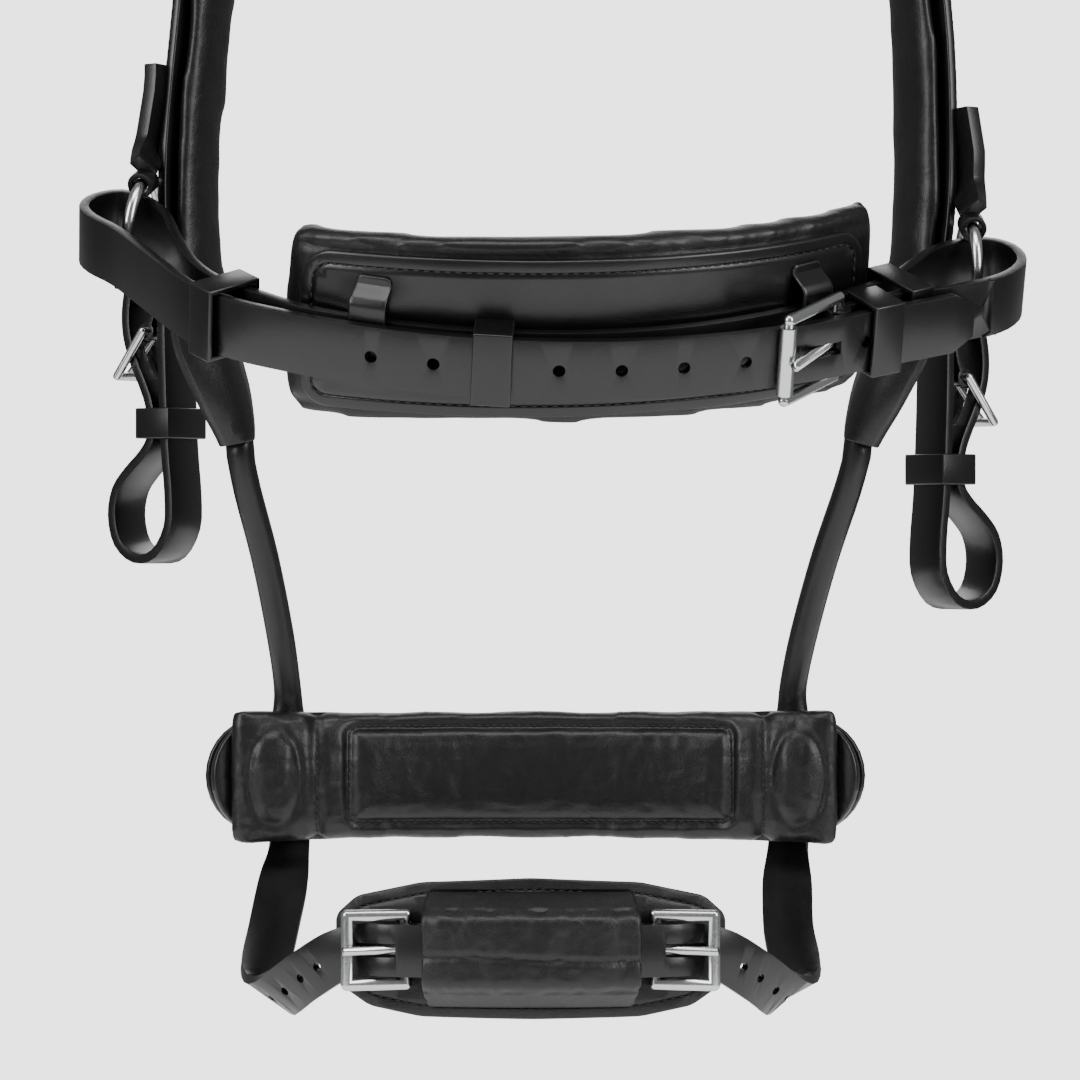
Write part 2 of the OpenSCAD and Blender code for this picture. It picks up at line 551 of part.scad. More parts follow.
jaw_strap();
jaw_buckle();
jaw_roller();
jaw_tongue();
jaw_keeper_left();
jaw_keeper_centre();
jaw_keeper_point();
jaw_keeper_right();
jaw_leather();
jaw_padding();
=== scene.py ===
# %% [markdown]
# # A padded leather bridle, piece by piece
# The CAD model holds every piece at its real size and place. This lesson gives each one the
# surface of the real thing: bevelled strap leather, swollen padding, stitching and steel.

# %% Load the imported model
import json
import math
import bpy
import bmesh
from mathutils import Matrix, Vector, noise
from mathutils.bvhtree import BVHTree


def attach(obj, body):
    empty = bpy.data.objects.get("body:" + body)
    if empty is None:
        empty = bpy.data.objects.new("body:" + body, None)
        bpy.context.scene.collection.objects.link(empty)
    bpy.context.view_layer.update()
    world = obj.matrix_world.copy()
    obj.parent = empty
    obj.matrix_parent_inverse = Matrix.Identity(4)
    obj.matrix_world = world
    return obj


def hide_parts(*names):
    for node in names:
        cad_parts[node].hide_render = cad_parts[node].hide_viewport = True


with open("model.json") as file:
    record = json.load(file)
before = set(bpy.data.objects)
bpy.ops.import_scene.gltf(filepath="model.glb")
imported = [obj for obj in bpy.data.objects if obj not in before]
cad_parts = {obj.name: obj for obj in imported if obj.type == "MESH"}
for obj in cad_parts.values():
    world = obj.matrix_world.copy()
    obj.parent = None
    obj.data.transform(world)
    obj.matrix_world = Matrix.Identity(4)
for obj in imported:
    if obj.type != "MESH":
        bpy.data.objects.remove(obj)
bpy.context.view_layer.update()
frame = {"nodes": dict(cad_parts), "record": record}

MM = 0.001
scene = bpy.context.scene
body_of_node = {n: b for b, ns in frame["record"]["behaviour"]["bodies"].items() for n in ns}
slot_of_node = {s["node"]: s["material_slot"] for s in frame["record"]["subparts"]}

# %% [markdown]
# ## Materials
# Bridle leather is vegetable-tanned cowhide, dyed black, waxed and glazed under a roller, so it
# has a fine closed grain and a soft gloss. The padding is wrapped in softer calf leather that
# creases. Each material is made of a pore pattern, a slow change of tone and a change of gloss.

# %% Small helpers for materials
def linear(hex_colour):
    """An sRGB hex colour as the linear values that a shader wants."""
    parts = [int(hex_colour[i:i + 2], 16) / 255 for i in (1, 3, 5)]
    return [c / 12.92 if c <= 0.04045 else ((c + 0.055) / 1.055) ** 2.4 for c in parts] + [1]


def add(tree, kind, settings=None, links=None):
    """Adds one node, with its settings (sockets or properties by name) and its incoming links."""
    node = tree.nodes.new(kind)
    for key, value in (settings or {}).items():
        if isinstance(key, int) or key in node.inputs:
            node.inputs[key].default_value = value
        else:
            setattr(node, key, value)
    for key, source in (links or {}).items():
        tree.links.new(source, node.inputs[key])
    return node


def leather(name, dark, light, gloss, pore_mm, pore_depth, crease_mm, crease_depth, coat):
    """Dyed leather. gloss is the lowest and highest roughness, depths are in millimetres."""
    mat = bpy.data.materials.new(name)
    mat.use_nodes = True
    tree = mat.node_tree
    shader = tree.nodes["Principled BSDF"]
    where = add(tree, "ShaderNodeTexCoord").outputs["Object"]
    # Pores: cells a little under a millimetre across, drawn coarser than real so that they show
    pores = add(tree, "ShaderNodeTexVoronoi", {"feature": "DISTANCE_TO_EDGE", "Scale": 1 / (pore_mm * MM)},
                {"Vector": where}).outputs["Distance"]
    soft_pores = add(tree, "ShaderNodeMapRange", {"From Max": 0.25}, {"Value": pores}).outputs["Result"]
    # Creases: slow folds of the hide
    folds = add(tree, "ShaderNodeTexNoise",
                {"Scale": 1 / (crease_mm * MM), "Detail": 5.0, "Roughness": 0.55, "Distortion": 0.6},
                {"Vector": where}).outputs["Fac"]
    tone = add(tree, "ShaderNodeTexNoise", {"Scale": 1 / (22 * MM), "Detail": 3.0},
               {"Vector": where}).outputs["Fac"]
    mix = add(tree, "ShaderNodeMix", {"data_type": "RGBA"}, {0: tone})
    mix.inputs[6].default_value = linear(dark)
    mix.inputs[7].default_value = linear(light)
    # The cut edges are dyed and burnished, a little browner and duller than the face
    edge = add(tree, "ShaderNodeAttribute", {"attribute_name": "cut_edge"}).outputs["Fac"]
    worn = add(tree, "ShaderNodeMix", {"data_type": "RGBA"}, {0: edge, 6: mix.outputs[2]})
    worn.inputs[7].default_value = linear("#191614")
    tree.links.new(worn.outputs[2], shader.inputs["Base Color"])
    rough = add(tree, "ShaderNodeMapRange", {"To Min": gloss[0], "To Max": gloss[1]}, {"Value": folds})
    tree.links.new(rough.outputs["Result"], shader.inputs["Roughness"])
    bump_low = add(tree, "ShaderNodeBump", {"Distance": crease_depth * MM, "Strength": 1.0},
                   {"Height": folds})
    bump = add(tree, "ShaderNodeBump", {"Distance": pore_depth * MM, "Strength": 0.7},
               {"Height": soft_pores, "Normal": bump_low.outputs["Normal"]})
    tree.links.new(bump.outputs["Normal"], shader.inputs["Normal"])
    shader.inputs["IOR"].default_value = 1.45
    shader.inputs["Coat Weight"].default_value = coat
    shader.inputs["Coat Roughness"].default_value = 0.22
    return mat


# %% [markdown]
# ## The leathers, the steel and the thread
# Straps are glazed, padding is matt, and the side leather that is wrapped and folded is duller.

# %% The four leathers, the steel and the thread
strap_leather = leather("glazed black bridle leather",
                        "#060506", "#0d0c0d", (0.24, 0.38), 0.7, 0.02, 9, 0.05, 0.25)
pad_leather = leather("soft black calf over foam",
                      "#060506", "#0f0e10", (0.32, 0.48), 0.8, 0.04, 5, 0.3, 0.15)
rolled_leather = leather("rolled black leather",
                         "#060506", "#0e0d0e", (0.32, 0.48), 0.7, 0.03, 6, 0.12, 0.15)
wrap_leather = leather("wrapped black side leather",
                       "#070607", "#100f10", (0.34, 0.5), 0.8, 0.05, 7, 0.2, 0.12)
BY_SLOT = {"strap_leather": strap_leather, "soft_leather": pad_leather, "rolled_leather": rolled_leather,
           "keeper_leather": strap_leather, "wrap_leather": wrap_leather}

steel = bpy.data.materials.new("polished stainless steel")
steel.use_nodes = True
steel_tree = steel.node_tree
steel_shader = steel_tree.nodes["Principled BSDF"]
steel_shader.inputs["Base Color"].default_value = linear("#cfd0d2")
steel_shader.inputs["Metallic"].default_value = 1.0
# Handling leaves hairline marks, wider here than real so that they show
steel_where = add(steel_tree, "ShaderNodeTexCoord").outputs["Object"]
marks = add(steel_tree, "ShaderNodeTexNoise", {"Scale": 1 / (1.2 * MM), "Detail": 4.0},
            {"Vector": steel_where})
polish = add(steel_tree, "ShaderNodeMapRange", {"To Min": 0.14, "To Max": 0.3},
             {"Value": marks.outputs["Fac"]})
steel_tree.links.new(polish.outputs["Result"], steel_shader.inputs["Roughness"])
scuff = add(steel_tree, "ShaderNodeBump", {"Distance": 0.01 * MM, "Strength": 0.5},
            {"Height": marks.outputs["Fac"]})
steel_tree.links.new(scuff.outputs["Normal"], steel_shader.inputs["Normal"])
BY_SLOT["steel"] = steel

thread = bpy.data.materials.new("waxed black linen thread")
thread.use_nodes = True
thread_tree = thread.node_tree
thread_shader = thread_tree.nodes["Principled BSDF"]
thread_where = add(thread_tree, "ShaderNodeTexCoord").outputs["Object"]
ply = add(thread_tree, "ShaderNodeTexNoise", {"Scale": 1 / (0.5 * MM)}, {"Vector": thread_where})
ply_mix = add(thread_tree, "ShaderNodeMix", {"data_type": "RGBA"}, {0: ply.outputs["Fac"]})
ply_mix.inputs[6].default_value = linear("#131213")
ply_mix.inputs[7].default_value = linear("#2e2c2d")
thread_tree.links.new(ply_mix.outputs[2], thread_shader.inputs["Base Color"])
thread_shader.inputs["Roughness"].default_value = 0.55
print("materials", len(bpy.data.materials))

# %% [markdown]
# ## Working on a copy of a CAD solid
# A CAD mesh is loose triangles. A copy of it is merged and its triangles joined, and then the
# sharp edges get a small bevel, as the edge of real strap leather is bevelled and burnished.

# %% Copies, bevels and the last steps of a piece
def copy_of(node):
    mesh = frame["nodes"][node].data.copy()
    mesh.materials.clear()
    piece = bpy.data.objects.new(node + "_piece", mesh)
    scene.collection.objects.link(piece)
    return piece


def opened(piece, join=2.0):
    """The piece's mesh as a merged bmesh whose flat triangle pairs are joined."""
    bm = bmesh.new()
    bm.from_mesh(piece.data)
    bmesh.ops.remove_doubles(bm, verts=bm.verts, dist=0.004 * MM)
    bmesh.ops.dissolve_degenerate(bm, edges=bm.edges, dist=0.002 * MM)
    bmesh.ops.join_triangles(bm, faces=bm.faces, angle_face_threshold=math.radians(join),
                             angle_shape_threshold=math.pi)
    bmesh.ops.recalc_face_normals(bm, faces=bm.faces)
    return bm


def soften(bm, width, limit=40, segments=2):
    """Bevels the edges that turn by more than limit degrees, and marks the new faces as cut edge."""
    mark = bm.faces.layers.float.get("cut_edge") or bm.faces.layers.float.new("cut_edge")
    hard = [e for e in bm.edges if len(e.link_faces) == 2 and e.calc_face_angle(0) > math.radians(limit)]
    made = bmesh.ops.bevel(bm, geom=hard, affect="EDGES", offset=width * MM, offset_type="OFFSET",
                           segments=segments, profile=0.5, material=-1, clamp_overlap=True)
    for face in made["faces"]:
        face[mark] = 1.0
    return made["faces"]


def closed(piece, bm, angle=38):
    bm.to_mesh(piece.data)
    bm.free()
    piece.data.shade_smooth()
    piece.data.set_sharp_from_angle(angle=math.radians(angle))


def dress(piece, node, mat=None, extra_nodes=()):
    """Puts the piece on its node's body, hides the CAD part, and gives the piece its material, by default the
    one for the node's slot.
    """
    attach(piece, body_of_node[node])
    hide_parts(node, *extra_nodes)
    piece.data.materials.clear()
    piece.data.materials.append(mat or BY_SLOT[slot_of_node[node]])
    return piece


# %% [markdown]
# ## Stitching
# A saddler's seam is a row of short stitches, about eight to the inch, sunk a little into the
# leather. Each stitch is a twenty-sided bead drawn out along the seam. A whole seam is one piece.

# %% Rims of a region, and stitches along a line
def rims(faces):
    """The borders of a set of faces, each as a list of (place, normal)."""
    inside = set(faces)
    border = [e for e in {e for f in inside for e in f.edges}
              if sum(f in inside for f in e.link_faces) == 1]
    at_vert = {}
    for e in border:
        for v in e.verts:
            at_vert.setdefault(v, []).append(e)
    left, lines = set(border), []
    while left:
        edge = left.pop()
        line = [edge.verts[0], edge.verts[1]]
        while True:
            following = [e for e in at_vert[line[-1]] if e in left]
            if not following:
                break
            left.discard(following[0])
            line.append(following[0].other_vert(line[-1]))
        lines.append([(v.co.copy(), v.normal.copy()) for v in line])
    return lines


bm = bmesh.new()
bmesh.ops.create_icosphere(bm, subdivisions=1, radius=1)
bead_mesh = bpy.data.meshes.new("bead")
bm.to_mesh(bead_mesh)
bm.free()


def sew(name, lines, body, pitch=3.2, length=2.5, width=0.65, shortest=12, keep=None):
    """Lays stitches along each line of (place, normal), and makes them one piece."""
    bm = bmesh.new()
    count = 0
    for line in lines:
        total = sum((line[i + 1][0] - line[i][0]).length for i in range(len(line) - 1))
        if total < shortest * MM:
            continue
        steps = max(1, round(total / (pitch * MM)))
        i, run = 0, 0.0
        for s in range(steps):
            target = (s + 0.5) * total / steps
            while i < len(line) - 2 and run + (line[i + 1][0] - line[i][0]).length < target:
                run += (line[i + 1][0] - line[i][0]).length
                i += 1
            a, b = line[i], line[i + 1]
            span = (b[0] - a[0]).length
            if span < 1e-7:
                continue
            f = (target - run) / span
            place, along = a[0].lerp(b[0], f), (b[0] - a[0]).normalized()
            up = a[1].lerp(b[1], f).normalized()
            if keep and not keep(place, up):
                continue
            across = up.cross(along).normalized()
            up = along.cross(across)
            turn = Matrix((along, across, up)).transposed().to_4x4()
            size = Matrix.Diagonal((length / 2 * MM, width / 2 * MM, 0.3 * MM, 1))
            bead = bead_mesh.copy()
            bead.transform(Matrix.Translation(place) @ turn @ size)
            bm.from_mesh(bead)
            bpy.data.meshes.remove(bead)
            count += 1
    mesh = bpy.data.meshes.new(name)
    bm.to_mesh(mesh)
    bm.free()
    mesh.shade_smooth()
    mesh.materials.append(thread)
    seam = bpy.data.objects.new(name, mesh)
    scene.collection.objects.link(seam)
    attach(seam, body)
    print(name, "stitches", count)
    return seam


def crease(bm, faces, inset, wide=0.5, deep=0.25):
    """Sinks a V-shaped line round a region, inset millimetres inside its border. Returns its lines."""
    bmesh.ops.inset_region(bm, faces=faces, thickness=inset * MM, depth=0,
                           use_even_offset=True, use_boundary=True)
    bmesh.ops.inset_region(bm, faces=faces, thickness=wide / 2 * MM, depth=-deep * MM,
                           use_even_offset=True, use_boundary=True)
    lines = rims(faces)
    bmesh.ops.inset_region(bm, faces=faces, thickness=wide / 2 * MM, depth=deep * MM, use_even_offset=True,
                           use_boundary=True)
    return lines


# %% [markdown]
# ## Flat panels, bent into place
# The facings of the pads are flat leather, cut out, creased and then bent round the pad. Each is
# made the same way here: a face with rounded corners, given a thickness and a bevelled edge,
# creased for its seam, cut into strips so that it can bend, and laid on its curve.

# %% One panel
def panel(name, outline, corner, thick, place, seam=3.0, relief=None, step=3.0, edge=0.6):
    """outline is in flat millimetres. place(x, y, h) gives the world point for a flat point."""
    bm = bmesh.new()
    face = bm.faces.new([bm.verts.new((x, y, 0)) for x, y in outline])
    if corner:
        bmesh.ops.bevel(bm, geom=list(bm.verts), affect="VERTICES", offset=corner, offset_type="OFFSET",
                        segments=8, profile=0.5, material=-1, clamp_overlap=True)
    bm.normal_update()
    face = bm.faces[:][0]
    if face.normal.z < 0:
        face.normal_flip()
    under = bmesh.ops.extrude_face_region(bm, geom=[face])
    # The new copy is the top and the first face stays below as the back
    top = [g for g in under["geom"] if isinstance(g, bmesh.types.BMFace)]
    raised = [g for g in under["geom"] if isinstance(g, bmesh.types.BMVert)]
    bmesh.ops.translate(bm, verts=raised, vec=(0, 0, thick))
    bmesh.ops.recalc_face_normals(bm, faces=bm.faces)
    bm.normal_update()
    mark = bm.faces.layers.float.new("cut_edge")
    rim_edges = [e for e in bm.edges if e.calc_face_angle(0) > math.radians(60)]
    made = bmesh.ops.bevel(bm, geom=rim_edges, affect="EDGES", offset=edge, offset_type="OFFSET",
                           segments=2, profile=0.5, material=-1, clamp_overlap=True)
    for f in made["faces"]:
        f[mark] = 1.0
    top = [f for f in bm.faces if f.normal.z > 0.99 and f.calc_center_median().z > thick * 0.9]
    lines = []
    if seam:
        bmesh.ops.inset_region(bm, faces=top, thickness=seam, depth=0, use_even_offset=True)
        bmesh.ops.inset_region(bm, faces=top, thickness=0.4, depth=-0.35, use_even_offset=True)
        lines = [[v[0] for v in line] for line in rims(top)]
        bmesh.ops.inset_region(bm, faces=top, thickness=0.4, depth=0.35, use_even_offset=True)
    xs = [x for x, y in outline]
    ys = [y for x, y in outline]
    for axis, low, high in ((0, min(xs), max(xs)), (1, min(ys), max(ys))):
        cuts = int((high - low) / step)
        for i in range(1, cuts):
            at = Vector((0, 0, 0))
            at[axis] = low + (high - low) * i / cuts
            normal = Vector((0, 0, 0))
            normal[axis] = 1
            bmesh.ops.bisect_plane(bm, geom=bm.verts[:] + bm.edges[:] + bm.faces[:], dist=1e-5, plane_co=at,
                                   plane_no=normal)
    shape = relief or (lambda x, y: 0.0)
    for v in bm.verts:
        x, y, h = v.co
        v.co = place(x, y, h + shape(x, y) * (h / thick))
    bmesh.ops.recalc_face_normals(bm, faces=bm.faces)
    mesh = bpy.data.meshes.new(name)
    piece = bpy.data.objects.new(name, mesh)
    scene.collection.objects.link(piece)
    closed(piece, bm, 50)
    placed = []
    for line in lines:
        dense = []
        for i in range(len(line) - 1):
            a, b = line[i], line[i + 1]
            n = max(1, int((b - a).length / 2))
            dense += [a.lerp(b, k / n) for k in range(n)]
        dense.append(line[-1])
        placed.append([(Vector(place(p.x, p.y, p.z + 0.15 + shape(p.x, p.y))),
                        (Vector(place(p.x, p.y, 5)) - Vector(place(p.x, p.y, 0))).normalized())
                       for p in dense])
    return piece, placed


# %% [markdown]
# ## Padding
# Padding is foam in a skin of soft leather: it swells between its seams. A copy of each solid,
# a little smaller, is given an even mesh and blown up by a cloth simulation. Its swell is
# capped and evened out, so that the pad keeps to its own room. Seams and channels are pressed in afterwards.

# %% Blowing up a pad
CLOTH_FRAMES = 20


def even_copy(node, voxel):
    """A copy of a solid with an even mesh, whose step is voxel millimetres."""
    piece = copy_of(node)
    bm = opened(piece)
    bm.to_mesh(piece.data)
    bm.free()
    even = piece.modifiers.new("even", "REMESH")
    even.mode = "VOXEL"
    even.voxel_size = voxel * MM
    graph = bpy.context.evaluated_depsgraph_get()
    mesh = bpy.data.meshes.new_from_object(piece.evaluated_get(graph))
    piece.modifiers.clear()
    piece.data = mesh
    return piece


def relax(bm, times):
    """Rounds a mesh off, this many times over."""
    for _ in range(times):
        bmesh.ops.smooth_vert(bm, verts=bm.verts, factor=0.5,
                              use_axis_x=True, use_axis_y=True, use_axis_z=True)


def push_in(bm, press):
    """Pushes each point in by press(point, normal) millimetres."""
    moves = [(v, v.normal.copy(), press(v.co / MM, v.normal)) for v in bm.verts]
    for v, normal, depth in moves:
        v.co -= normal * depth * MM


def inflate(node, voxel=4.0, shrink=1.0, cap=2.2, fine=1, press=None):
    """A swollen pad. shrink is taken off first, and cap is the most that any point swells."""
    piece = even_copy(node, voxel)
    mesh = piece.data
    bm = bmesh.new()
    bm.from_mesh(mesh)
    relax(bm, 7)
    bm.normal_update()
    for v in bm.verts:
        v.co -= v.normal * shrink * MM
    bm.to_mesh(mesh)
    bm.free()
    start = [v.co.copy() for v in mesh.vertices]
    cloth = piece.modifiers.new("swell", "CLOTH")
    cloth.settings.quality = 4
    cloth.settings.mass = 0.3
    cloth.settings.use_pressure = True
    cloth.settings.uniform_pressure_force = 4.0
    cloth.settings.effector_weights.gravity = 0
    cloth.point_cache.frame_start = 1
    cloth.point_cache.frame_end = CLOTH_FRAMES
    for f in range(1, CLOTH_FRAMES + 1):
        scene.frame_set(f)
    graph = bpy.context.evaluated_depsgraph_get()
    swollen = [v.co.copy() for v in piece.evaluated_get(graph).data.vertices]
    piece.modifiers.clear()
    scene.frame_set(1)
    moves = [(b - a) * min(1, cap * MM / max((b - a).length, 1e-9)) for a, b in zip(start, swollen)]
    # Each move is averaged with its neighbours', so that the skin swells evenly
    for _ in range(10):
        total, count = [m.copy() for m in moves], [1] * len(moves)
        for e in mesh.edges:
            a, b = e.vertices
            total[a] += moves[b]
            total[b] += moves[a]
            count[a] += 1
            count[b] += 1
        moves = [t / n for t, n in zip(total, count)]
    for v, a, move in zip(mesh.vertices, start, moves):
        v.co = a + move
    bm = bmesh.new()
    bm.from_mesh(mesh)
    relax(bm, 4)
    if fine:
        bmesh.ops.subdivide_edges(bm, edges=bm.edges, cuts=fine, use_grid_fill=True)
        relax(bm, 3 + 2 * fine)
    bm.normal_update()
    if press:
        push_in(bm, press)
    closed(piece, bm, 180)
    return piece


def ditch(distance, wide, deep):
    """How far a seam presses in, this far from its middle."""
    return deep * math.exp(-(distance / wide) ** 2)


def box_distance(x, y, half_x, half_y, corner):
    """Distance from a rounded rectangle's border, negative inside."""
    dx, dy = abs(x) - half_x + corner, abs(y) - half_y + corner
    outside = math.hypot(max(dx, 0), max(dy, 0))
    return outside + min(max(dx, dy), 0) - corner


# %% [markdown]
# ## The jaw pad
# The pad hangs on the inner run of the jaw strap. Its facing is a glossy panel with two raised
# loops that the strap passes through, sewn 3 mm inside its edge on to a fat padded backing.
# The jaw strap lies in a tilted plane, so the pad's shapes are worked out there, on arcs.

# %% The jaw plane and the pad's facing
TILT, ROLL = math.radians(25), math.radians(2.5)
JAW = (Matrix.Translation((10.5, -70, -323)) @ Matrix.Rotation(TILT, 4, "X") @ Matrix.Rotation(ROLL, 4, "Y"))
JAW_BACK = JAW.inverted()
PAD_X, PAD_Y, STRAP_R, PAD_GAP = -23.75, 152.8, 150.0, 2.9
FACE_R = STRAP_R - 1.5 - PAD_GAP     # outer face of the jaw leather
FACE_T = 2.4
STRAP_T, LOOP_AIR = 3.0, 0.4         # the jaw strap's thickness, and the air under a loop
FACE_LEFT, FACE_RIGHT = -88, 86      # the solid's ends, measured in the jaw plane
FACE_IN, FACE_HALF = 1.5, 25.5       # the padding shows this much round the facing


def on_jaw_arc(x, y, h):
    """Flat panel to jaw arc: x runs along the arc from the middle of the plane, h outwards."""
    angle = math.asin(-PAD_X / FACE_R) + x / FACE_R
    r = FACE_R - FACE_T + h
    return (JAW @ Vector((PAD_X + r * math.sin(angle), PAD_Y - r * math.cos(angle), y))) * MM


def jaw_droop(x):
    return 5 - 5 * (x / 92) ** 2


def arc_x(x):
    """Arc length that lies over a place x of the jaw plane."""
    return FACE_R * (math.asin((x - PAD_X) / FACE_R) - math.asin(-PAD_X / FACE_R))


jaw_loops = [arc_x(-64), arc_x(66)]


def jaw_relief(x, y):
    swell = 1.0 * math.cos(min(1, abs(y) / 28) * math.pi / 2)
    for loop in jaw_loops:
        swell += 1.6 * math.exp(-((x - loop) / 9) ** 2 - (max(0, abs(y) - 12) / 5) ** 2)
    swell += 0.25 * noise.noise(Vector((x * 0.05, y * 0.09, 3)))
    return swell


left_x, right_x = arc_x(FACE_LEFT), arc_x(FACE_RIGHT)
face_x = (left_x + FACE_IN, right_x - FACE_IN)
jaw_face, jaw_seams = panel(
    "jaw_leather_piece",
    [(face_x[0], -FACE_HALF), (face_x[1], -FACE_HALF), (face_x[1], FACE_HALF), (face_x[0], FACE_HALF)],
    10, FACE_T,
    lambda x, y, h: on_jaw_arc(
        x, y + jaw_droop((x - left_x) / (right_x - left_x) * (FACE_RIGHT - FACE_LEFT) + FACE_LEFT), h),
    seam=3.0, relief=jaw_relief)
dress(jaw_face, "jaw_leather", strap_leather)
sew("jaw_leather_seam", jaw_seams, "jaw_pad")


# The loops that the strap passes under are short bands, sewn down above and below it
def loop_place(middle):
    def place(x, y, h):
        lift = 0
        if abs(y) < 14.1:
            lift = (PAD_GAP + STRAP_T + LOOP_AIR) * (1 - min(1, max(0, (abs(y) - 9.6) / 4.5)) ** 2)
        return on_jaw_arc(middle + x, y + jaw_droop(PAD_X), FACE_T + 0.6 + lift + h * 0.55)
    return place


for k, middle in enumerate(jaw_loops):
    band, _ = panel("jaw_loop_piece_" + "lr"[k], [(-5.5, -17), (5.5, -17), (5.5, 17), (-5.5, 17)],
                    2, 2.4, loop_place(middle), seam=0, step=1.2)
    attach(band, "jaw_pad")
    band.data.materials.append(strap_leather)
print("jaw leather faces", len(jaw_face.data.polygons))

# %% [markdown]
# The jaw padding swells beyond its facing all round. Its inner side has one seam near the edge.

# %% The jaw padding
def press_jaw(p, normal):
    q = JAW_BACK @ p
    y = q.z - jaw_droop(q.x)
    facing = (JAW.to_3x3().inverted() @ normal).y
    # The facing is drawn down on to the foam outside, and a seam runs round the inner side
    outer = min(1, max(0, (-facing - 0.2) / 0.5))
    inner = min(1, max(0, (facing - 0.4) / 0.4))
    return (outer * ditch(abs(abs(y) - 26), 2.0, 0.8)
            + inner * ditch(abs(box_distance(q.x + 1, y, 80, 22, 8)), 1.6, 1.3))


jaw_pad = dress(inflate("jaw_padding", 3, 1.0, 2.2, 1, press_jaw), "jaw_padding")
print("jaw padding faces", len(jaw_pad.data.polygons))

# %% [markdown]
# ## The nosepiece
# Its inner side faces the horse: a pad wrapped in soft leather, with a long quilted panel sewn
# in the middle, a seam across near each end, and a raised oval over each strap end.

# %% The nose pad
NOSE_R = 233
NOSE = Vector((-4.6, 76 - NOSE_R, -452))
QUILT_X, QUILT_Z = 1.5, 0.5          # middle of the quilted panel, from NOSE
QUILT = (62, 15.8, 3)                # its half width, half height and corner
CROSS_SEAMS = (-71, 74)


def press_nose(p, normal):
    x, z = p.x - NOSE.x, p.z - NOSE.z
    if normal.y > -0.1:
        return 0
    quilt = box_distance(x - QUILT_X, z - QUILT_Z, *QUILT)
    depth = ditch(abs(quilt), 1.5, 1.9)
    if quilt < 0:
        depth -= 1.3 * min(1, -quilt / 7)
    for at in CROSS_SEAMS:
        depth += ditch(abs(x - at), 2.2, 1.3)
    for at in (-84.5, 85):
        depth -= 1.6 * math.exp(-((x - at) / 6) ** 4 - (z / 14) ** 4)
        oval = math.hypot((x - at) / 8.5, z / 15.5)
        depth += ditch((oval - 1) * 10, 1.2, 0.8)
    # Fine wrinkles run across the quilted panel and fan out from its ends
    depth += 0.22 * noise.noise(Vector((x * 0.35, z * 0.16, 1)))
    depth += 0.25 * noise.noise(Vector((x * 0.12, z * 0.5, 5)))
    return depth


nose_pad = dress(inflate("nose_padding", 3.6, 1.0, 2.4, 2, press_nose), "nose_padding")


def on_surface(piece, points, direction):
    """Drops points on to a piece along a direction, and returns (place, normal) for each."""
    tree = BVHTree.FromObject(piece, bpy.context.evaluated_depsgraph_get())
    found = []
    for p in points:
        hit, normal, _, _ = tree.ray_cast(Vector(p) * MM - direction * 0.2, direction)
        if hit:
            found.append((hit + normal * 0.12 * MM, normal))
    return found


def box_outline(cx, cz, half_x, half_z, corner, step=1.5):
    """Points round a rounded rectangle."""
    out = []
    for sx, sz, start in ((1, 1, 0), (-1, 1, 90), (-1, -1, 180), (1, -1, 270)):
        for a in range(0, 91, 15):
            t = math.radians(start + a)
            out.append((cx + sx * (half_x - corner) + corner * math.cos(t),
                        cz + sz * (half_z - corner) + corner * math.sin(t)))
    out.append(out[0])
    dense = []
    for a, b in zip(out, out[1:]):
        n = max(1, int(math.dist(a, b) / step))
        dense += [(a[0] + (b[0] - a[0]) * k / n, a[1] + (b[1] - a[1]) * k / n) for k in range(n)]
    return dense + [out[-1]]


forward = Vector((0, 1, 0))
quilt_line = [(x, -100, z) for x, z in box_outline(NOSE.x + QUILT_X, NOSE.z + QUILT_Z, *QUILT)]
sew("nose_padding_seam", [on_surface(nose_pad, quilt_line, forward)], "bridle", 2.6, 2.0, 0.6)
cross_lines = [
    on_surface(nose_pad, [(NOSE.x + at, -100, NOSE.z - 22 + 1.5 * i) for i in range(30)], forward)
    for at in CROSS_SEAMS]
sew("nose_padding_cross_seam", cross_lines, "bridle", 2.6, 2.0, 0.6)


# %% [markdown]
# The nosepiece's outer side is one long leather with round ends. A round patch covers each end,
# where the rolled strap and the chin billet are sewn in.

# %% The nosepiece's outer leather and the round patches
def on_nose(x, y, h):
    r = NOSE_R + 0.2 + h
    a = x / NOSE_R
    return Vector((NOSE.x + r * math.sin(a), NOSE.y + r * math.cos(a), NOSE.z + y)) * MM


nose_face, nose_seams = panel(
    "nose_leather_piece", [(-108, -19.5), (108, -19.5), (108, 19.5), (-108, 19.5)], 19, 2.4, on_nose,
    seam=3, relief=lambda x, y: 0.8 * math.cos(min(1, abs(y) / 19) * math.pi / 2))
dress(nose_face, "nose_leather", strap_leather)
sew("nose_leather_seam", nose_seams, "bridle")
for side, word in ((-1, "left"), (1, "right")):
    turn = Matrix.Translation(NOSE) @ Matrix.Rotation(math.radians(-side * 21.5), 4, "Z")
    circle = [(19 * math.cos(math.radians(a)), 19 * math.sin(math.radians(a))) for a in range(0, 360, 12)]
    patch, patch_seams = panel("nose_patch_piece_" + word, circle, 0, 2.4,
                               lambda x, y, h, t=turn: (t @ Vector((x, NOSE_R + 11.4 + h, y))) * MM, seam=2.6,
                               relief=lambda x, y: 0.7 * (1 - min(1, math.hypot(x, y) / 18) ** 2))
    dress(patch, "nose_patch_" + word, strap_leather)
    sew("nose_patch_seam_" + word, patch_seams, "bridle")
print("nose pieces done")

# %% [markdown]
# ## The chin piece
# A six-sided leather backed by a thin pad, with a wide sleeve sewn over the middle. The chin
# strap runs through the sleeve and carries a buckle at each end.

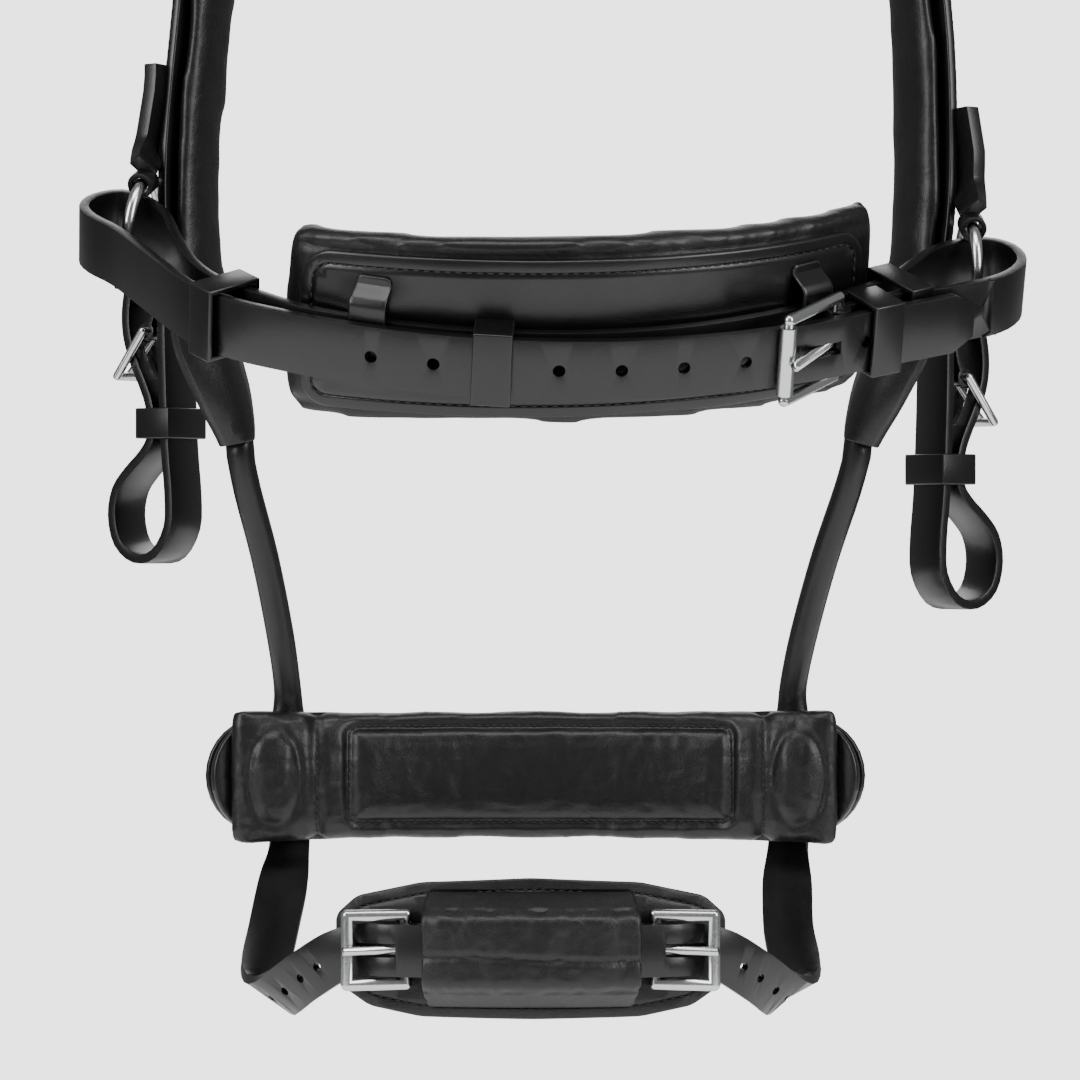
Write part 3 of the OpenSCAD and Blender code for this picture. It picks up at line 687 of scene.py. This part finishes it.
# %% The chin leather, padding and sleeve
CHIN = Vector((-6, 116, -501))
CHIN_FLAT_R = 148                    # the arc on which the flat outline keeps its lengths
CHIN_OUTLINE = [(-60.5, -11), (-60.5, 10), (-54, 16), (-34, 20.5), (0, 22), (34, 20.5), (54, 16), (60.5, 10),
             (60.5, -11), (50, -18), (34, -21), (0, -21.5), (-34, -21), (-50, -18)]


def on_chin(base):
    def place(x, y, h):
        r = base + h
        a = x / CHIN_FLAT_R
        return Vector((CHIN.x + r * math.sin(a), CHIN.y - r * math.cos(a), CHIN.z + y)) * MM
    return place


chin_outline = [(CHIN_FLAT_R * math.asin(x / CHIN_FLAT_R), z) for x, z in CHIN_OUTLINE]
chin_face, chin_seams = panel("chin_leather_piece", chin_outline, 2, 2.2, on_chin(146), seam=2.6,
                              relief=lambda x, y: 0.3 * noise.noise(Vector((x * 0.1, y * 0.1, 2))))
dress(chin_face, "chin_leather", wrap_leather)
sew("chin_leather_seam", chin_seams, "chin_pad", 2.8, 2.1, 0.6)
dress(inflate("chin_padding", 3, 0.6, 1.4, 1), "chin_padding")


def press_sleeve(p, normal):
    out = Vector((p.x - CHIN.x, p.y - CHIN.y, 0)).length
    if out < 157:
        return 0
    x, z = p.x - CHIN.x, p.z - CHIN.z
    depth = ditch(abs(z + 2.2 + 0.8 * math.sin(x * 0.07)), 0.9, 0.8)
    depth += (0.5 * noise.noise(Vector((x * 0.16, z * 0.1, 4)))
              + 0.2 * noise.noise(Vector((x * 0.5, z * 0.35, 9))))
    return depth + 0.2


def remeshed(node, voxel, smooth=3, press=None):
    """An even, softly rounded copy of a solid, for leather that is folded and creased."""
    piece = even_copy(node, voxel)
    bm = bmesh.new()
    bm.from_mesh(piece.data)
    relax(bm, smooth)
    bm.normal_update()
    if press:
        push_in(bm, press)
    closed(piece, bm, 180)
    return piece


dress(remeshed("chin_sleeve", 0.9, 3, press_sleeve), "chin_sleeve")
print("chin piece done")

# %% [markdown]
# ## Long pads
# The crown, the browband and the two hangers are padded along their whole length.

# %% Crown, browband and hanger padding
for node, voxel, cap in (("crown_padding", 4.5, 2.5), ("browband_padding", 3.2, 1.4),
                         ("hanger_padding_left", 3.2, 1.4), ("hanger_padding_right", 3.2, 1.4)):
    dress(inflate(node, voxel, 0.7, cap, 1, lambda p, n: 0.25 * noise.noise(p * 0.12)), node)
print("long pads done")

# %% [markdown]
# ## Straps
# Each strap is a copy of its solid with bevelled edges. The straps that are lined or sewn get a
# creased line and stitches along both edges, found from the faces that look outwards.

# %% Straps with a seam along their edges
def strap(node, faces_out, seam=2.4, edge=0.5, sewn=True, mat=None, keep=None):
    piece = copy_of(node)
    bm = opened(piece)
    soften(bm, edge)
    bm.normal_update()
    broad = [f for f in bm.faces if faces_out(f) and f.calc_area() > 2 * MM * MM]
    lines = crease(bm, broad, seam, 0.6, 0.22) if broad and seam else []
    closed(piece, bm)
    dress(piece, node, mat)
    if sewn and lines:
        sew(node + "_seam", lines, body_of_node[node], keep=keep)
    return piece


def faces(direction, least=0.8):
    d = Vector(direction).normalized()
    return lambda f: f.normal.dot(d) > least


def outward(f):
    """Faces of the crown and its like that look away from the head."""
    c = f.calc_center_median()
    away = Vector((c.x, 0, max(0, c.z + 0.08))).normalized() if c.length > 0 else Vector((0, 0, 1))
    return f.normal.dot(away) > 0.6 and abs(f.normal.y) < 0.5


for side, word in ((-1, "left"), (1, "right")):
    strap("hanger_leather_" + word, faces((side * 0.9, 0.35, 0), 0.75), 2.2)
    strap("chin_billet_" + word, lambda f: False, 0, sewn=False)
    strap("bit_strap_" + word, lambda f: False, 0, sewn=False)
strap("crown_leather", outward, 3.0, sewn=True, keep=lambda p, n: p.z > -0.105)
strap("browband_leather", lambda f: abs(f.normal.z) < 0.3 and f.normal.y > 0.2, 2.2)
strap("chin_strap", lambda f: False, 0, sewn=False)

# %% [markdown]
# The jaw strap is one plain strap, doubled back through both rings. It isn't sewn along its edges.

# %% The jaw strap
jaw_strap = copy_of("jaw_strap")
bm = opened(jaw_strap)
soften(bm, 0.45)
closed(jaw_strap, bm)
dress(jaw_strap, "jaw_strap")

# %% [markdown]
# Keepers, loops, ring tabs and the ends of the hangers are small bevelled leathers. The rolled
# straps are round, with no edge to bevel.

# %% Small leather parts
for node in ("browband_loop_left", "browband_loop_right", "hanger_end_left", "hanger_end_right",
             "ring_tab_left", "ring_tab_right", "jaw_keeper_left", "jaw_keeper_centre",
             "jaw_keeper_point", "jaw_keeper_right", "bit_keeper_left", "bit_keeper_right",
             "tip_keeper_left", "tip_keeper_right", "cheek_keeper_left", "cheek_keeper_right"):
    piece = copy_of(node)
    bm = opened(piece)
    if node.startswith("ring_tab"):      # the top leans over on to the hanger, where the real tab is skived thin and sewn down
        side = 1 if node.endswith("right") else -1
        for v in bm.verts:
            lie = min(1, max(0, (v.co.z + 0.252) / 0.022))
            v.co.x -= side * 3.4 * lie * MM
    soften(bm, 0.5, segments=3)
    closed(piece, bm)
    dress(piece, node)
for node in ("rolled_strap_left", "rolled_strap_right"):
    piece = copy_of(node)
    bm = opened(piece)
    for v in bm.verts:      # the top runs on up into its cap
        if v.co.z > -0.3475:
            v.co.z += 4 * MM
    closed(piece, bm, 60)
    dress(piece, node)

# %% [markdown]
# ## Steel
# Buckles, tongues, rings and the roller are stainless steel, polished by tumbling.

# %% Hardware
for node, slot_name in slot_of_node.items():
    if slot_name == "steel":
        piece = copy_of(node)
        bm = opened(piece, 0.5)
        closed(piece, bm, 40)
        dress(piece, node, steel)
print("steel done")

# %% [markdown]
# ## Light, floor and camera
# A small pale floor lies below the bridle, out of the picture, and the backdrop is white. Large
# soft lights stand at the sides, so that the black leather shows its edges as long highlights.

# %% Stage
bm = bmesh.new()
bmesh.ops.create_grid(bm, x_segments=1, y_segments=1, size=0.6)
bmesh.ops.translate(bm, verts=bm.verts, vec=(0, 0, -0.62))
mesh = bpy.data.meshes.new("floor")
bm.to_mesh(mesh)
bm.free()
floor = bpy.data.objects.new("floor", mesh)
scene.collection.objects.link(floor)
pale = bpy.data.materials.new("pale paper")
pale.use_nodes = True
paper = pale.node_tree.nodes["Principled BSDF"]
paper.inputs["Base Color"].default_value = linear("#f4f4f4")
paper.inputs["Roughness"].default_value = 0.9
paper.inputs["Emission Color"].default_value = linear("#ffffff")
paper.inputs["Emission Strength"].default_value = 0.55
mesh.materials.append(pale)

world = bpy.data.worlds.new("white studio")
scene.world = world
world.use_nodes = True
sky = world.node_tree
sky.nodes["Background"].inputs["Color"].default_value = linear("#ffffff")
# The paper behind is bright, while the room that lights the leather is dim
seen = add(sky, "ShaderNodeLightPath").outputs["Is Camera Ray"]
level = add(sky, "ShaderNodeMapRange", {"To Min": 0.22, "To Max": 3.0}, {"Value": seen})
sky.links.new(level.outputs["Result"], sky.nodes["Background"].inputs["Strength"])


def softbox(name, place, target, wide, high, watts):
    light = bpy.data.lights.new(name, "AREA")
    light.shape = "RECTANGLE"
    light.size, light.size_y, light.energy = wide, high, watts
    lamp = bpy.data.objects.new(name, light)
    lamp.location = place
    lamp.rotation_euler = (Vector(target) - Vector(place)).to_track_quat("-Z", "Y").to_euler()
    scene.collection.objects.link(lamp)


middle = (0, 0, -0.35)
softbox("left window", (-0.9, -0.75, 0.15), middle, 0.5, 1.0, 11)
softbox("right window", (0.9, -0.75, 0.15), middle, 0.5, 1.0, 11)
softbox("top window", (0, -0.5, 0.8), middle, 1.0, 0.5, 9)
softbox("back window", (0, 1.2, 0.4), middle, 1.2, 0.8, 6)

lens = bpy.data.cameras.new("camera")
lens.lens, lens.sensor_width = 166.67, 36
camera = bpy.data.objects.new("camera", lens)
camera.location = (-0.0031, -1.57, -0.375)
camera.rotation_euler = (math.radians(90), 0, 0)
scene.collection.objects.link(camera)
scene.camera = camera
